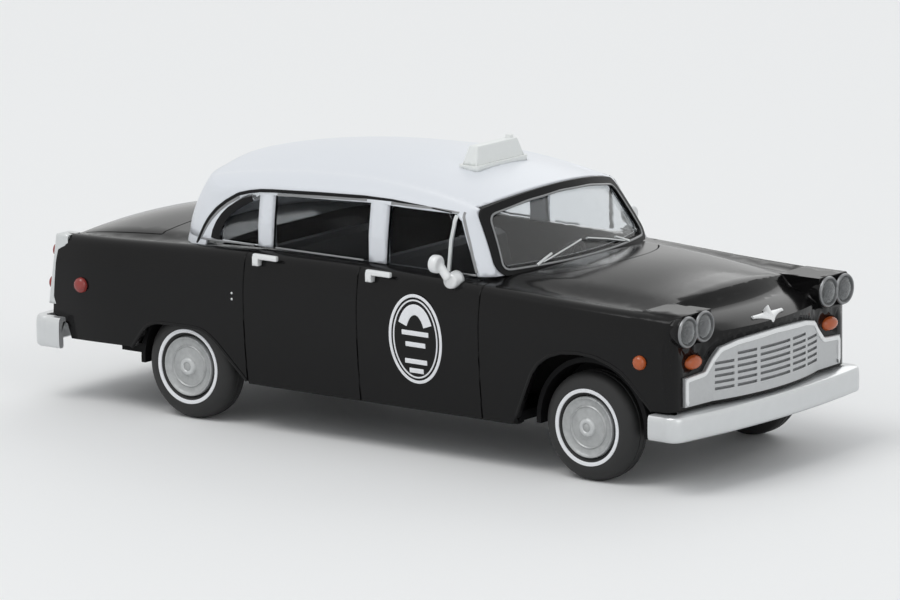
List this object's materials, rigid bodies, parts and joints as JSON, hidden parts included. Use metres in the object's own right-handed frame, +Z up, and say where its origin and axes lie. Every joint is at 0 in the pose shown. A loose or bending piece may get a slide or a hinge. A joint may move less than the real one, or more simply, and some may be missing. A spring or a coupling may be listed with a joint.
{
  "type": "miniature taxi cab",
  "caption": "Miniature taxi cab saloon: hollow moulded body with a white roof, clear windows, blank roof sign, grille, bumpers and wheels that roll on plain axle pins.",
  "frame": {"origin": "centre of the bounding box at the surface the cab stands on", "axes": "+X forward along the cab, +Y to the cab's left, +Z up"},
  "size_m": [0.058, 0.0236, 0.0206],
  "materials": {
    "black_body": "gloss black moulding with softly polished curves",
    "white_roof": "satin cool white printed roof and pillars",
    "black_seal": "dull black rubber-like windscreen frame",
    "clear_glazing": "clear polystyrene glazing",
    "chassis_plastic": "matt dark grey base moulding",
    "interior_plastic": "matt dark grey interior moulding",
    "silver_trim": "satin silver painted plastic",
    "silver_wheel": "satin silver wheel cover with fine rings",
    "sign_plastic": "off-white moulded sign",
    "steel_pin": "plain steel pin",
    "lamp_clear": "clear domed lamp lens over a grey cup",
    "amber_lens": "orange lamp paint",
    "red_lens": "red lamp paint",
    "tyre_black": "black tyre with a thin white ring"
  },
  "bodies": {
    "cab": {"body_lower": "black_body", "roof_moulding": "white_roof", "windscreen_surround": "black_seal", "windscreen_glass": "clear_glazing", "rear_window_glass": "clear_glazing", "side_glass_right": "clear_glazing", "side_glass_left": "clear_glazing", "chassis_plate": "chassis_plastic", "cabin_floor": "interior_plastic", "front_bench": "interior_plastic", "rear_bench": "interior_plastic", "dashboard": "interior_plastic", "steering_wheel": "interior_plastic", "grille": "silver_trim", "bumper_front": "silver_trim", "bumper_rear": "silver_trim", "roof_sign": "sign_plastic", "roof_sign_base": "sign_plastic", "bonnet_ornament": "silver_trim", "headlamp_bezel_left": "silver_trim", "headlamp_lens_left": "lamp_clear", "turn_lamp_left": "amber_lens", "marker_front_left": "amber_lens", "marker_rear_left": "red_lens", "tail_lamp_housing_left": "silver_trim", "tail_lamp_lens_left": "red_lens", "handle_front_left": "silver_trim", "handle_rear_left": "silver_trim", "door_mirror_left": "silver_trim", "headlamp_bezel_right": "silver_trim", "headlamp_lens_right": "lamp_clear", "turn_lamp_right": "amber_lens", "marker_front_right": "amber_lens", "marker_rear_right": "red_lens", "tail_lamp_housing_right": "silver_trim", "tail_lamp_lens_right": "red_lens", "handle_front_right": "silver_trim", "handle_rear_right": "silver_trim", "door_mirror_right": "silver_trim"},
    "front_wheels": {"axle_pin_front": "steel_pin", "wheel_front_left": "silver_wheel", "tyre_front_left": "tyre_black", "wheel_front_right": "silver_wheel", "tyre_front_right": "tyre_black"},
    "rear_wheels": {"axle_pin_rear": "steel_pin", "wheel_rear_left": "silver_wheel", "tyre_rear_left": "tyre_black", "wheel_rear_right": "silver_wheel", "tyre_rear_right": "tyre_black"}
  },
  "joints": [
    {"name": "front_axle", "type": "hinge", "parent": "cab", "child": "front_wheels", "pos_m": [0.02002, 0, 0.0038], "axis": [0, 1, 0], "continuous": true},
    {"name": "rear_axle", "type": "hinge", "parent": "cab", "child": "rear_wheels", "pos_m": [-0.01502, 0, 0.0038], "axis": [0, 1, 0], "continuous": true}
  ]
}
